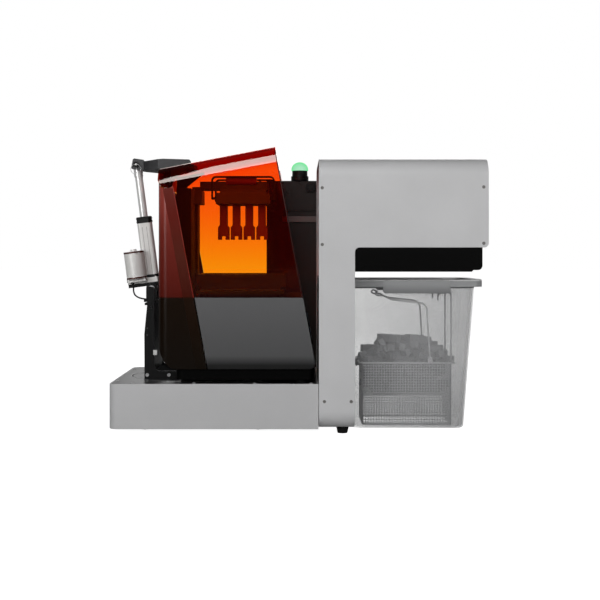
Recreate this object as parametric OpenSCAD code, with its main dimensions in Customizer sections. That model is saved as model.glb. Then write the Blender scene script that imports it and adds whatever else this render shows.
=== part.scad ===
// Desktop resin printer on a long base tray, with a motorised cover opener at
// its back and a part-removal tower, hood and bin at its front.
// Units are millimetres. +X runs from the opener to the bin, +Y runs across
// the machine and +Z is up. The origin is on the floor at the middle of the
// machine's bounding box. Every y in a module is measured from the centre
// plane of the tray and printer, which helper modules move to the origin.

/* [Base tray and front module] */
// Length of the whole machine, from the tray's end to the hood's end
total_l = 906; // [900:2:912]
// Width of the tray, tower and hood
module_w = 420; // [418:1:426]
// Gap under the tray, set by the feet
foot_h = 16; // [14:1:18]
// Height of the tray's deck above the floor
deck_z = 124; // [122:1:126]
// Length of the tower along the machine
tower_l = 86; // [84:1:88]
// Height of the top of the tower and hood
hood_top = 662; // [656:1:670]
// Height of the lower edge of the silver hood
hood_z = 449; // [444:1:454]
// Height of the underside of the black housing below the hood
housing_z = 391; // [389:1:394]
// Radius of the long rounded edges of the tower and hood
edge_r = 43; // [38:1:46]
// Thickness of the sheet metal of the shell
sheet = 3; // [2.5:0.5:3]

/* [Printer] */
// Width of the printer
printer_w = 405; // [402:1:406]
// Height of the underside of the printer's body
body_z = 158; // [156:1:160]
// Height of the lower edge of the cover
cover_z = 330; // [326:1:334]
// Height of the highest corner of the cover
cover_top = 693; // [690:1:696]
// Lean of the printer's front, and of the seam behind the cover, in degrees
lean = 10.5; // [10.3:0.1:10.7]
// Slope of the top of the cover, in degrees
slope = 10.8; // [10.6:0.1:11]
// Thickness of the acrylic of the cover
acrylic = 3.5; // [3:0.5:3.5]

/* [Cover opener] */
// Radius of the rod of the linear actuator
rod_r = 10; // [9.5:0.5:10]
// Radius of the tube of the linear actuator
tube_r = 18; // [17.5:0.5:18]

/* [Bin] */
// Height of the rim of the bin
bin_h = 371; // [366:1:374]
// Height of the rim of the basket in the bin
basket_h = 165; // [160:1:168]

/* [Hidden] */
$fn = 48;
// Centre plane of the tray and printer: the signal column behind it makes the box wider there
column_y = 256;
screw_proud = 0.9;
mid_y = (module_w/2 + screw_proud - column_y)/2;
tray_x0 = -total_l/2;
hood_x1 = total_l/2;
tower_x0 = 48.5;
tower_x1 = tower_x0 + tower_l;
tray_x1 = tower_x0 - 1;
side_y = module_w/2;
shell_y = side_y - sheet;
printer_y = printer_w/2;
rear_x = -336.5;
front_base_x = 10.5;
seam_base_x = -249.5;
shell_t = 3;
panel_t = 4;
seam_gap = 1;
disc_r = 157.5;
disc_x = -267.5;
// Hinge axis of the cover
hinge_x = -316;
hinge_z = 612;
barrel_r = hinge_x - rear_x;
hinge_pin_r = 4;
// Lower and upper pivots of the actuator
low_x = -373;
low_z = 346;
high_x = -413;
high_z = 661;
reach = norm([high_x - low_x, high_z - low_z]);
tilt = atan2(high_x - low_x, high_z - low_z);
// Running clearance of shafts in their bores
run = 0.06;
// Build platform and the heights of its travel
plat_x0 = -207.5;
plat_x1 = -71;
plat_z0 = 559;
plat_z1 = 595;
screw_x = -258;
screw_r = 5;
// Rods that the light unit slides on
rod_xs = [-200, -86];
// Extractor heights in the hood
stage_z = 552;
fork_z = 514;
// Signal column on the far side
column_near = 218;
column_x0 = -88.5;
column_x1 = 57;
column_top = 635;
beacon_x = 3;
beacon_y = 231;
knob_x = 33;
knob_z = 618;
// Bin
bin_x0 = 100.5;
bin_y = 135;
lip = 17;
taper = 25;
basket_x0 = 153;
basket_x1 = 385.5;
basket_y = 88;
// Height of the raised floor that the prints lie on
basket_floor = 80;
pile_z = basket_floor + 2.3;
bail_x = 327;
bail_y = 83;
bail_z = basket_h + 6;
stud_r = 1.8;
wire_r = 2.2;

// ---------------------------------------------------------------- helpers
function unit(v) = v/norm(v);
function flat(p) = [p[0], p[1]];
// Points that round the corner b, between a and c, to radius r in n steps
function corner(a, b, c, r, n) =
  r == 0 ? [flat(b)] :
  let (u = unit(flat(a) - flat(b)), w = unit(flat(c) - flat(b)),
       half = acos(u*w)/2,
       m = flat(b) + unit(u + w)*r/sin(half),
       p = flat(b) + u*r/tan(half) - m,
       turn = (u[0]*w[1] - u[1]*w[0] > 0 ? -1 : 1)*(180 - 2*half))
  [for (i = [0:n]) let (t = turn*i/n)
    m + [p[0]*cos(t) - p[1]*sin(t), p[0]*sin(t) + p[1]*cos(t)]];
// Outline of [x, y, radius] corners, with each corner rounded
function rounded(pts, n = 8) =
  [for (i = [0:len(pts) - 1])
    each corner(pts[(i + len(pts) - 1) % len(pts)], pts[i], pts[(i + 1) % len(pts)], pts[i][2], n)];
function rect(x0, y0, x1, y1, r = 0, n = 8) =
  rounded([[x0, y0, r], [x1, y0, r], [x1, y1, r], [x0, y1, r]], n);
// Rectangle with its lower corners of radius low and its upper corners of radius high
function arch(x0, y0, x1, y1, low, high, n = 16) =
  rounded([[x0, y0, low], [x1, y0, low], [x1, y1, high], [x0, y1, high]], n);
// Lines of the printer's side view
function front_x(z) = front_base_x - (z - cover_z)*tan(lean);
function seam_x(z) = seam_base_x - (z - cover_z)*tan(lean);
function top_z(x) = cover_top - (front_x(cover_top) - x)*tan(slope);

module at(x = 0, y = 0, z = 0) { translate([x, mid_y + y, z]) children(); }
module slab(a, b) { at(a[0], a[1], a[2]) cube(b - a); }
module prism_x(pts, x0, x1) { at(x0) rotate([90, 0, 90]) linear_extrude(x1 - x0) polygon(pts); }
module prism_y(pts, y0, y1) { at(0, y1) rotate([90, 0, 0]) linear_extrude(y1 - y0) polygon(pts); }
module prism_z(pts, z0, z1) { at(0, 0, z0) linear_extrude(z1 - z0) polygon(pts); }
module rod_y(r, x, z, y0, y1) { at(x, y1, z) rotate([90, 0, 0]) cylinder(r = r, h = y1 - y0); }
module rod_z(r, x, y, z0, z1) { at(x, y, z0) cylinder(r = r, h = z1 - z0); }
// The same shape on the near and the far side of the centre plane
module both_sides() {
  children();
  translate([0, 2*mid_y, 0]) mirror([0, 1, 0]) children();
}
// Local frame at the cover's highest edge, with x along the sloping top
module on_top() { at(front_x(cover_top), 0, cover_top) rotate([0, -slope, 0]) children(); }
// Local frame at the actuator's lower pivot, with z along its rod
module on_actuator() { at(low_x, 0, low_z) rotate([0, tilt, 0]) children(); }
module rod_across(r, x, z, y0, y1) { translate([x, y1, z]) rotate([90, 0, 0]) cylinder(r = r, h = y1 - y0); }

// ---------------------------------------------------------------- base tray
function tray_plan(inset, r) = rounded([[tray_x0 + inset, -side_y + inset, r],
  [tray_x1 - inset, -side_y + inset, 0], [tray_x1 - inset, side_y - inset, 0],
  [tray_x0 + inset, side_y - inset, r]]);
module base_tray() {
  color("silver") {
    difference() {
      prism_z(tray_plan(0, 21), foot_h, deck_z);
      prism_z(tray_plan(4, 17), foot_h + 4, deck_z + 1);
    }
    for (x = [-430, -180, 15]) both_sides()
      slab([x, -side_y + 3.5, foot_h + 3.5], [x + 22, -side_y + 26, deck_z - 8]);
  }
}
module tray_deck() {
  color("dimgray") difference() {
    prism_z(tray_plan(4.3, 16.5), deck_z - 8, deck_z);
    rod_z(disc_r, disc_x, 0, deck_z - 5, deck_z + 1);
    rod_z(disc_r - 10, disc_x, 0, deck_z - 9, deck_z + 1);
  }
}
module locating_disc() {
  color("dimgray") rod_z(disc_r - 2.5, disc_x, 0, deck_z - 5, deck_z);
}
module deck_screws() {
  color("gray") both_sides() {
    rod_z(4.5, tray_x0 + 12, -148, deck_z, deck_z + 1.4);
    for (x = [-396, -250, -105, 30]) rod_z(4.5, x, -side_y + 12, deck_z, deck_z + 1.4);
  }
}
module leveling_feet() {
  color("black") both_sides() for (p = [[-380, -95], [-100, -95], [106.5, -157]])
    at(p[0], p[1]) {
      cylinder(r1 = 12, r2 = 15, h = foot_h - 2);
      cylinder(r = 6, h = foot_h);
    }
}

// ---------------------------------------------------------------- printer
module printer_base() {
  color("black") difference() {
    prism_z(rect(-294, -195, 36, 195, 18), deck_z + 8, body_z);
    prism_z(rect(-290, -191, 32, 191, 14), deck_z + 12, body_z + 1);
  }
}
module printer_feet() {
  color("black") both_sides() for (x = [-270, 5]) rod_z(14, x, -165, deck_z, deck_z + 8);
}
function panel_outline() = rounded([[seam_x(body_z) + seam_gap, body_z, 2],
  [front_x(body_z), body_z, 14], [front_x(cover_z - 1), cover_z - 1, 1.5],
  [seam_x(cover_z - 1) + seam_gap, cover_z - 1, 1.5]]);
module side_panel_near() {
  color("dimgray") prism_y(panel_outline(), -printer_y, -printer_y + panel_t);
}
module side_panel_far() {
  color("dimgray") prism_y(panel_outline(), printer_y - panel_t, printer_y);
}
module front_lower_panel() {
  z0 = body_z + 16;
  color("dimgray") difference() {
    prism_y([[front_x(z0) - panel_t, z0], [front_x(z0), z0], [front_x(cover_z - 1), cover_z - 1],
      [front_x(cover_z - 1) - panel_t, cover_z - 1]], -printer_y + panel_t + 0.2, printer_y - panel_t - 0.2);
    at(front_x(252), -40, 252) rotate([0, -lean, 0]) translate([-1.5, -71, -42]) cube([10, 142, 84]);
  }
}
module touchscreen() {
  color("black") at(front_x(252), -40, 252) rotate([0, -lean, 0])
    translate([-1.5, -70.5, -41.5]) cube([3.5, 141, 83]);
}
function rear_outline(inset) = concat(
  [for (i = [0:8]) let (t = 90*i/8) [rear_x + inset + (45 - inset)*(1 - sin(90 - t)),
    body_z + inset + (72 - inset)*(1 - sin(t))]],
  [[seam_x(body_z) - seam_gap + 60*(inset > 0 ? 1 : 0), body_z + inset],
   [seam_x(hinge_z) - seam_gap + 60*(inset > 0 ? 1 : 0), hinge_z + inset],
   [rear_x + inset, hinge_z + inset]]);
module rear_shell() {
  color("saddlebrown") difference() {
    intersection() {
      prism_y(rear_outline(0), -printer_y, printer_y);
      prism_z(rounded([[rear_x, -printer_y, 24], [0, -printer_y, 0], [0, printer_y, 0],
        [rear_x, printer_y, 24]]), body_z - 1, hinge_z + 1);
    }
    intersection() {
      prism_y(rear_outline(shell_t), -printer_y + shell_t, printer_y - shell_t);
      prism_z(rounded([[rear_x + shell_t, -printer_y + shell_t, 21], [0, -printer_y + shell_t, 0],
        [0, printer_y - shell_t, 0], [rear_x + shell_t, printer_y - shell_t, 21]]),
        body_z, hinge_z + 20);
    }
    rod_y(barrel_r + 2, hinge_x, hinge_z, -printer_y - 1, printer_y + 1);
    inlet_hole();
  }
}
module inlet_hole() {
  slab([rear_x - 5, -156.5, 249.5], [rear_x + 40, -107.5, 278.5]);
}
module hinge_brackets() {
  color("gray") both_sides() difference() {
    union() {
      prism_y([[rear_x + 8.5, 532], [rear_x + 32, 532], [hinge_x + 10, hinge_z - 2], [hinge_x - 6, hinge_z - 5],
        [hinge_x, hinge_z - 13], [hinge_x, hinge_z - 28], [rear_x + 8.5, 558]], -168, -162);
      rod_y(10, hinge_x, hinge_z, -168, -162);
    }
    rod_y(hinge_pin_r, hinge_x, hinge_z, -169, -161);
  }
}
module hinge_pins() {
  color("silver") both_sides() {
    rod_y(hinge_pin_r, hinge_x, hinge_z, -168, -151);
    rod_y(7, hinge_x, hinge_z, -170, -168);
  }
}
module z_column() {
  color("dimgray") difference() {
    union() {
      slab([-309, -40, body_z + 14], [-272, 40, 600]);
      slab([rear_x + 4.5, -185, body_z + 80], [rear_x + 8.5, 185, 585]);
      both_sides() slab([rear_x + 8, -34, body_z + 80], [-308, -30, 580]);
    }
    inlet_hole();
  }
}
module z_rails() {
  color("silver") both_sides() slab([-272, -36, 300], [-264, -26, 598]);
}
module z_motor() {
  color("black") slab([-271.8, -18, 250], [-238, 18, 286]);
}
module leadscrew() {
  color("silver") rod_z(screw_r, screw_x, 0, 287, 598);
}
module resin_tank() {
  color("darkorange") difference() {
    union() {
      slab([-252.5, -118, 345], [-32.5, 118, 383]);
      both_sides() slab([-180, -126, 375], [-100, -117, 383]);
    }
    slab([-246.5, -112, 350], [-38.5, 112, 384]);
    for (x = [-253.5, -50]) rod_y(9, x == -50 ? -36 : -249, 345, -130, 130);
  }
}
module tank_mixer() {
  color("black") slab([-230, -6, 350.4], [-55, 6, 358]);
}
module light_unit() {
  color("black") difference() {
    union() {
      slab([-232, -45, 255], [-50, 45, 335]);
      slab([-222, -28, 334], [-60, 28, 343]);
    }
    for (x = rod_xs) rod_y(6 + run, x, 275, -50, 50);
  }
}
module light_unit_rods() {
  color("silver") {
    for (x = rod_xs) rod_y(6, x, 275, -181, 181);
    both_sides() slab([-245, -196, 262], [-45, -180, 288]);
    both_sides() slab([-245, -198, 337], [-35, -105, 345]);
  }
}
module power_supply() {
  color("silver") slab([-240, -150, 166], [-90, 20, 222]);
}
module power_inlet() {
  color("black") difference() {
    slab([rear_x - 2, -156, 250], [rear_x + 30, -108, 278]);
    slab([rear_x - 3, -146, 254], [rear_x + 14, -118, 274]);
  }
}
module z_carriage() {
  color("dimgray") difference() {
    union() {
      slab([-263.5, -42, 560], [-244, 42, 594]);
      slab([-270.5, -22, 560], [-246, 22, 604]);
      slab([-250, -32, 596], [-78, 32, 617]);
    }
    rod_z(screw_r + run, screw_x, 0, 550, 610);
  }
}
module build_platform() {
  color("dimgray") union() {
    slab([plat_x0, -72, plat_z0], [plat_x1, 72, plat_z1 - 8]);
    slab([plat_x0 + 10, -60, plat_z1 - 8.2], [plat_x1 - 10, 60, plat_z1 + 0.8]);
  }
}
function handle_outline(t) = rounded([[-219 + t, 570, 3], [-219 + t, 629 - t, 12 - t/2],
  [-59 - t, 629 - t, 14 - t/2], [-59 - t, 570, 3]]);
module platform_handle() {
  color("black") both_sides() {
    difference() {
      prism_y(handle_outline(0), -66, -58);
      prism_y(rect(-214.5, 560, -63.5, 624.5, 8), -67, -57);
    }
    slab([-218, -66, 569.8], [-207.6, -58, 576]);
    slab([-70.9, -66, 569.8], [-60, -58, 576]);
  }
}
module fork_part(x) {
  prism_y([[x - 9.7, plat_z0], [x - 9.7, 507], [x - 14.3, 502], [x - 14.3, 470], [x - 5, 470],
    [x - 5, 479], [x + 5, 479], [x + 5, 470], [x + 14.3, 470], [x + 14.3, 502], [x + 9.7, 507],
    [x + 9.7, plat_z0]], -14, 14);
}
module printed_parts() {
  color("firebrick") for (i = [0:3]) fork_part(-191.5 + 32.6*i);
}

// ---------------------------------------------------------------- cover
module cover_envelope(inset, high) {
  on_top() rotate([90, 0, 90]) translate([0, 0, -340]) linear_extrude(420)
    polygon(arch(-printer_y + inset, -700, printer_y - inset, -inset, 0, high, 10));
}
module cover_shell() {
  tc = acrylic/cos(lean);
  color("orangered", 0.8) difference() {
    intersection() {
      union() {
        prism_y(rounded([[seam_x(cover_z), cover_z, 0], [front_x(cover_z), cover_z, 2],
          [front_x(cover_top), cover_top, 3], [rear_x, top_z(rear_x), 8], [rear_x, hinge_z, 0],
          [seam_x(hinge_z), hinge_z, 0]]), -printer_y, printer_y);
        rod_y(barrel_r, hinge_x, hinge_z, -printer_y, printer_y);
      }
      cover_envelope(0, 40);
    }
    intersection() {
      prism_y([[rear_x + acrylic, cover_z - 20], [front_x(cover_z - 20) - tc, cover_z - 20],
        [front_x(730) - tc, 730], [rear_x + acrylic, 730]], -printer_y, printer_y);
      cover_envelope(acrylic, 40 - acrylic);
    }
  }
}
module cover_hinge_arms() {
  color("gray") both_sides() difference() {
    union() {
      prism_y([[hinge_x - 12, hinge_z], [hinge_x + 13, hinge_z],
        [hinge_x + 62, top_z(hinge_x + 62) - 3.7], [hinge_x - 12, top_z(hinge_x - 12) - 3.7]], -160, -154);
      rod_y(13, hinge_x, hinge_z, -160, -154);
      prism_y([[hinge_x - 12, top_z(hinge_x - 12) - 8], [hinge_x + 62, top_z(hinge_x + 62) - 8],
        [hinge_x + 62, top_z(hinge_x + 62) - 3.7], [hinge_x - 12, top_z(hinge_x - 12) - 3.7]], -160, -128);
    }
    rod_y(hinge_pin_r + run, hinge_x, hinge_z, -161, -153);
  }
}
module yoke() {
  color("dimgray") {
    on_top() translate([-282, -95, 0]) cube([70, 190, 3]);
    both_sides() {
      prism_y([[-348, 645], [-348, 669], [-337, 670], [-271, 668], [-267, 663],
        [-267, top_z(-267) + 0.5], [-333, top_z(-333) + 0.5]], -95, -92);
      prism_z([[-394, -24], [-394, -21], [-348, -92], [-345, -95], [-349, -95]], 645, 669);
      difference() {
        prism_y(rounded([[-426, 650, 4], [-393, 645, 2], [-393, 673, 2], [-421, 677, 5]]), -24, -21);
        rod_y(4, high_x, high_z, -25, -20);
      }
    }
    prism_z([[-394, -24], [-346, -94], [-333, -94], [-333, 94], [-346, 94], [-394, 24]], 645, 648);
  }
}
module yoke_pin() {
  color("silver") {
    rod_y(4, high_x, high_z, -24, 26);
    rod_y(7, high_x, high_z, -29, -24);
    rod_y(6, high_x, high_z, 24, 27);
  }
}

// ---------------------------------------------------------------- cover opener
module opener_post() {
  color("black") {
    both_sides() difference() {
      prism_y(rounded([[-383, deck_z, 0], [-300, deck_z, 0], [-300, 143, 2], [-352, 143, 10],
        [-358.5, 156, 6], [-358.5, 350, 3], [-375, 354, 3], [-375, 322, 3], [-383.5, 234, 6]]), -89, -85);
      for (z = [232, 249]) rod_y(2.2, -376, z, -90, -84);
    }
    slab([-362, -85.2, 143], [-358.5, 85.2, 306]);
    slab([-383, -85.2, deck_z], [-300, 85.2, deck_z + 3]);
    slab([-383, -85.2, 306], [-358.5, 85.2, 312]);
  }
}
module lower_clevis() {
  color("dimgray") {
    slab([-392, -34, 312], [-352, 34, 318]);
    both_sides() difference() {
      union() {
        slab([-387, -29, 317], [-359, -25, low_z]);
        rod_y(14, low_x, low_z, -29, -25);
      }
      rod_y(5, low_x, low_z, -30, -24);
    }
  }
}
module lower_pin() {
  color("silver") {
    rod_y(5, low_x, low_z, -29, 31);
    rod_y(8, low_x, low_z, -33, -29);
  }
}
module post_screws() {
  color("silver") both_sides() for (p = [[-376, 133], [-322, 133], [-367, 300]])
    rod_y(4.5, p[0], p[1], -91.5, -89);
}
module actuator_body() {
  color("black") on_actuator() {
    difference() {
      union() {
        translate([-58, -24, 7.5]) cube([77, 48, 21.5]);
        rod_across(12, 0, 0, -24, 24);
      }
      rod_across(5 + run, 0, 0, -25, 25);
    }
    translate([-57, -46, 22]) cube([49, 23, 7]);
  }
}
module actuator_tube() {
  color("silver") on_actuator() difference() {
    translate([0, 0, 29]) linear_extrude(153) polygon(rect(-tube_r, -tube_r, tube_r, tube_r, 8, 6));
    translate([0, 0, 36]) cylinder(r = rod_r + 4, h = 130);
    translate([0, 0, 150]) cylinder(r = rod_r + run, h = 40);
  }
}
module actuator_motor() {
  color("silver") on_actuator() translate([-32.5, -35.5, 29]) {
    cylinder(r = 25, h = 70);
    cylinder(r = 8, h = 75);
  }
}
module actuator_rod() {
  color("silver") on_actuator() translate([0, 0, 125]) cylinder(r = rod_r, h = reach - 30 - 125);
}
module rod_end() {
  color("silver") on_actuator() difference() {
    union() {
      translate([0, 0, reach - 30]) cylinder(r = 11.5, h = 20);
      rod_across(12, 0, reach, -13, 13);
    }
    rod_across(7.5, 0, reach, -14, 14);
  }
}
// Route of the actuator's lead, from the gland on its gearbox into the post
LEAD = [[-420, -20, 347.3], [-420, -21, 338], [-416, -24, 330], [-406, -30, 323], [-394, -38, 320],
  [-384, -46, 319], [-377, -52, 317], [-375, -54, 312.3]];
function lead_dir(i) = unit(LEAD[min(i + 1, len(LEAD) - 1)] - LEAD[max(i - 1, 0)]);
function lead_ring(i, r) = let (d = lead_dir(i), a = unit(cross(d, [0.1, 1, 0])), b = cross(d, a))
  [for (k = [0:7]) LEAD[i] + r*cos(45*k)*a + r*sin(45*k)*b];
module actuator_lead() {
  n = len(LEAD);
  rings = [for (i = [0:n - 1]) each lead_ring(i, 2)];
  sides = [for (i = [0:n - 2]) for (k = [0:7])
    [8*i + k, 8*i + (k + 1) % 8, 8*i + 8 + (k + 1) % 8, 8*i + 8 + k]];
  color("black") at() polyhedron(rings, concat([[for (k = [7:-1:0]) k]], sides,
    [[for (k = [0:7]) 8*(n - 1) + k]]));
}

// ---------------------------------------------------------------- signal column
module column_housing() {
  color("black") difference() {
    prism_x([[side_y + 0.5, 40], [column_y, 40], [column_y, column_top], [column_near, column_top],
      [column_near, deck_z + 8], [side_y + 0.5, deck_z + 8]], column_x0, column_x1);
    slab([column_x0 + 3, column_near + 3, 60], [column_x1 - 3, column_y - 3, column_top - 3]);
  }
}
module column_head() {
  color("dimgray") {
    slab([-46, column_near - 4, 552.5], [column_x1, column_near, column_top - 2]);
    slab([-46, column_near - 3, 521], [column_x1, column_near, 538]);
    for (p = [[-28, 603], [3, 628], [22, 603]]) rod_y(3.5, p[0], p[1], column_near - 5.5, column_near - 3.5);
  }
}
module beacon_base() {
  color("black") {
    rod_z(24, beacon_x, beacon_y, column_top, column_top + 13);
    rod_z(21, beacon_x, beacon_y, column_top + 12.5, column_top + 28);
  }
}
module beacon_lens() {
  color("springgreen") at(beacon_x, beacon_y, column_top + 28) rotate_extrude()
    polygon(concat([[0, 0], [23, 0]], [for (i = [0:9]) [23*cos(9*i), 4 + 20*sin(9*i)]], [[0, 24]]));
}
module column_knob() {
  color("black") {
    rod_y(14, knob_x, knob_z, column_near - 13, column_near - 4.3);
    rod_y(9, knob_x, knob_z, column_near - 14.5, column_near - 12.5);
  }
}

// ---------------------------------------------------------------- front module
module hood_profile() {
  prism_y(rounded([[tower_x0, foot_h, 0], [tower_x1, foot_h, 0], [tower_x1, hood_z, 11],
    [hood_x1, hood_z, 11], [hood_x1, hood_top, 0], [tower_x0, hood_top, 0]]), -side_y, side_y);
}
module tower_shell() {
  color("silver") difference() {
    intersection() {
      prism_x(arch(-side_y, foot_h, side_y, hood_top, edge_r, edge_r), tower_x0, hood_x1);
      hood_profile();
    }
    prism_x(arch(-shell_y, foot_h + sheet, shell_y, hood_top - sheet, edge_r - sheet, edge_r - sheet),
      tower_x0 - 1, hood_x1 - sheet);
  }
}
module shell_screws() {
  color("dimgray") both_sides() for (p = [[tower_x0 + 8, 591], [tower_x0 + 8, 456], [hood_x1 - 12, 593],
    [hood_x1 - 12, 459], [tower_x0 + 13, 82], [tower_x0 + 77, 82]])
    rod_y(3.4, p[0], p[1], -side_y - screw_proud, -side_y);
}
module hood_lower_housing() {
  y1 = shell_y - 0.5;
  color("black") difference() {
    prism_y(rounded([[tower_x1 + 0.2, housing_z, 0], [413, housing_z, 0], [417, housing_z + 4, 0],
      [438.5, housing_z + 4, 11], [438.5, hood_z + 12, 0], [tower_x1 + 0.2, hood_z + 12, 0]]), -y1, y1);
    slab([tower_x1 + 3.2, -y1 + 3, housing_z + 7], [435.5, y1 - 3, hood_z + 20]);
    slab([160, -140, housing_z - 1], [405, 140, hood_z]);
  }
}
module tower_core() {
  color("dimgray") difference() {
    slab([tower_x0 + 2.5, -shell_y + 3, 62], [96.5, shell_y - 3, 371]);
    slab([tower_x0 + 5, -shell_y + 6, 65], [94, shell_y - 6, 368]);
  }
}
module inner_liner() {
  y1 = shell_y - 1;
  color("black") difference() {
    intersection() {
      prism_y([[tower_x0 + 2.5, 372], [89, 372], [105, 390], [121, 390], [121, 645], [118, 645],
        [118, 393], [103.5, 393], [87.5, 375], [tower_x0 + 2.5, 375]], -y1, y1);
      prism_x(arch(-y1, 300, y1, 646, 0, edge_r - sheet), tower_x0, tower_x1);
    }
    slab([110, -170, fork_z - 10], [130, 170, 632]);
  }
}
module hood_frame() {
  color("silver") {
    for (x = [146, 408]) slab([x, -shell_y + 45, 642], [x + 26, shell_y - 45, hood_top - sheet]);
    both_sides() {
      slab([142, -158, stage_z + 14], [440, -146, 642]);
      slab([416, -shell_y + 8, 470], [434, -shell_y + 20, 612]);
      slab([416, -shell_y + 8, stage_z], [434, -150, stage_z + 13.9]);
      slab([426, -158, stage_z], [440, -146, stage_z + 15]);
    }
  }
}
module extractor_motor() {
  color("black") {
    slab([400, -21, 598], [442, 21, 641.8]);
    rod_y(4, 421, 620, 21, 38);
    rod_y(9, 421, 620, 26, 37);
  }
}
module extractor_stage() {
  color("silver") {
    both_sides() slab([150, -158, stage_z], [392, -146, stage_z + 13.6]);
    slab([345, -147, stage_z], [372, 147, stage_z + 8]);
  }
}
module platform_fork() {
  color("dimgray") {
    both_sides() {
      slab([150, -112, fork_z], [392, -100, fork_z + 26]);
      slab([340, -158, fork_z], [392, -111, fork_z + 26]);
      slab([340, -158, fork_z + 26], [385, -146, stage_z - 0.3]);
      prism_z([[150, -112], [150, -94], [175, -100]], fork_z, fork_z + 12);
    }
    slab([372, -101, fork_z], [392, 101, fork_z + 26]);
  }
}

// ---------------------------------------------------------------- bin and basket
// Slice of the tapered bin, s = 0 at the bottom and 1 at the rim
module bin_slice(s, inset) {
  k = lip + inset + taper*(1 - s);
  x1 = hood_x1 - k;
  prism_z(rect(bin_x0 + k, -bin_y + k, x1, bin_y - k, 18, 5), s*bin_h + inset*(1 - s), s*bin_h + inset*(1 - s) + 0.01);
}
module bin_body() {
  color("lightgray", 0.6) difference() {
    union() {
      hull() {
        bin_slice(0, 0);
        translate([0, 0, -0.01]) bin_slice(1, 0);
      }
      difference() {
        prism_z(rect(bin_x0, -bin_y, hood_x1, bin_y, 30, 6), bin_h - 18, bin_h);
        prism_z(rect(bin_x0 + 3, -bin_y + 3, hood_x1 - 3, bin_y - 3, 27, 6), bin_h - 19, bin_h - 3);
      }
      both_sides() prism_y(rect(206, bin_h - 34, 372, bin_h - 10, 8), -bin_y, -bin_y + 3);
    }
    hull() {
      bin_slice(0, 3);
      translate([0, 0, 1]) bin_slice(1, 3);
    }
  }
}
module wire(a, b, r = wire_r) {
  d = b - a;
  at(a[0], a[1], a[2]) rotate([0, acos(d[2]/norm(d)), atan2(d[1], d[0])]) cylinder(r = r, h = norm(d), $fn = 16);
}
module basket() {
  color("gray") {
    difference() {
      slab([basket_x0 + 6, -basket_y, 8], [basket_x1 - 6, basket_y, basket_h - 4]);
      slab([basket_x0 + 8, -basket_y + 2, basket_floor + 2], [basket_x1 - 8, basket_y - 2, basket_h]);
      slab([basket_x0 + 8, -basket_y + 2, 7], [basket_x1 - 8, basket_y - 2, basket_floor]);
    }
    difference() {
      prism_z(rect(basket_x0, -basket_y - 3, basket_x1, basket_y + 3, 10), basket_h - 5, basket_h);
      slab([basket_x0 + 8, -basket_y + 2, basket_h - 6], [basket_x1 - 8, basket_y - 2, basket_h + 1]);
    }
    both_sides() {
      slab([bail_x - 6, -basket_y - 2, basket_h - 1], [bail_x + 6, -basket_y, basket_h + 13]);
      rod_y(stud_r, bail_x, bail_z, -basket_y - 1, -80);
      wire([basket_x1 - 3, -60, basket_h - 3], [basket_x1 - 3, -60, 338]);
      wire([basket_x1 - 3, -60, 336], [basket_x1 - 36, -60, 334]);
      wire([basket_x1 - 36, -60, 336], [basket_x1 - 36, -60, 318]);
    }
    wire([basket_x1 - 3, -60, 337], [basket_x1 - 3, 60, 337]);
  }
}
module parts_pile() {
  color("dimgray") {
    prism_y([[basket_x0 + 9, pile_z], [basket_x1 - 9, pile_z], [basket_x1 - 9, 162], [370, 176], [345, 196],
      [322, 220], [300, 231], [282, 228], [266, 220], [245, 229], [222, 231], [205, 222], [190, 212],
      [178, 198], [basket_x0 + 9, 190]], -58, 58);
    prism_y([[basket_x0 + 12, pile_z], [basket_x1 - 12, pile_z], [basket_x1 - 12, 150], [300, 184], [220, 188],
      [basket_x0 + 12, 162]], -77, 77);
  }
}
module basket_handle() {
  color("silver") {
    both_sides() {
      difference() {
        rod_y(5, bail_x, bail_z, -bail_y - 2, -bail_y + 2);
        rod_y(stud_r + run, bail_x, bail_z, -bail_y - 3, -bail_y + 3);
      }
      wire([bail_x, -bail_y, bail_z + 3.5], [bail_x - 3, -bail_y, 296]);
      wire([bail_x - 3, -bail_y, 294], [bail_x - 14, -bail_y, 308]);
      wire([bail_x - 13, -bail_y, 308], [228, -bail_y, 318]);
      wire([230, -bail_y, 317], [212, -bail_y, 338]);
    }
    wire([213, -bail_y - 1, 337], [213, bail_y + 1, 337]);
  }
}

base_tray();
tray_deck();
locating_disc();
deck_screws();
leveling_feet();
printer_base();
printer_feet();
side_panel_near();
side_panel_far();
front_lower_panel();
touchscreen();
rear_shell();
hinge_brackets();
hinge_pins();
z_column();
z_rails();
z_motor();
leadscrew();
resin_tank();
tank_mixer();
light_unit();
light_unit_rods();
power_supply();
power_inlet();
z_carriage();
build_platform();
platform_handle();
printed_parts();
cover_shell();
cover_hinge_arms();
yoke();
yoke_pin();
opener_post();
lower_clevis();
lower_pin();
post_screws();
actuator_body();
actuator_tube();
actuator_motor();
actuator_rod();
rod_end();
actuator_lead();
column_housing();
column_head();
beacon_base();
beacon_lens();
column_knob();
tower_shell();
shell_screws();
hood_lower_housing();
tower_core();
inner_liner();
hood_frame();
extractor_motor();
extractor_stage();
platform_fork();
bin_body();
basket();
parts_pile();
basket_handle();
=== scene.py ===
import math
import random

import bmesh
import bpy
from mathutils import Matrix, Vector


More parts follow.
